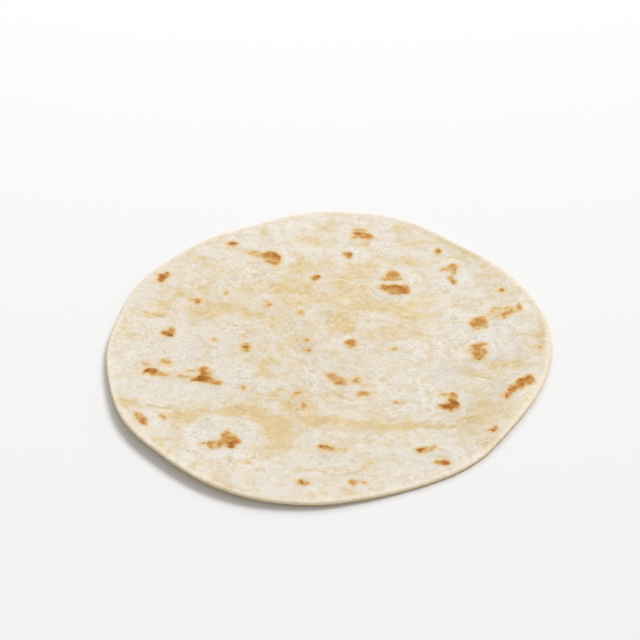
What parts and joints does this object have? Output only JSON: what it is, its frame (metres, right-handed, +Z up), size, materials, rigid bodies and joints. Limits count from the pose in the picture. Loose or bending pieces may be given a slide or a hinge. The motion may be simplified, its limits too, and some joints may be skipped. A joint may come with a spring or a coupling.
{
  "type": "tortilla",
  "caption": "Thin round soft wheat flatbread lying flat, with toasted spots, low blisters and a gently lifted rim.",
  "frame": {"origin": "centre of the base of the bounding box, on the surface that the tortilla lies on", "axes": "+Z up, out of the upper face that the picture shows; +Y towards the edge that is farthest from the viewer in the picture; +X to the viewer's right"},
  "size_m": [0.2034, 0.2008, 0.0051],
  "materials": {
    "toasted_dough": "matt, floury, cream with translucent yellow patches and small brown toasted spots"
  },
  "bodies": {
    "root": {"tortilla": "toasted_dough"}
  },
  "joints": []
}
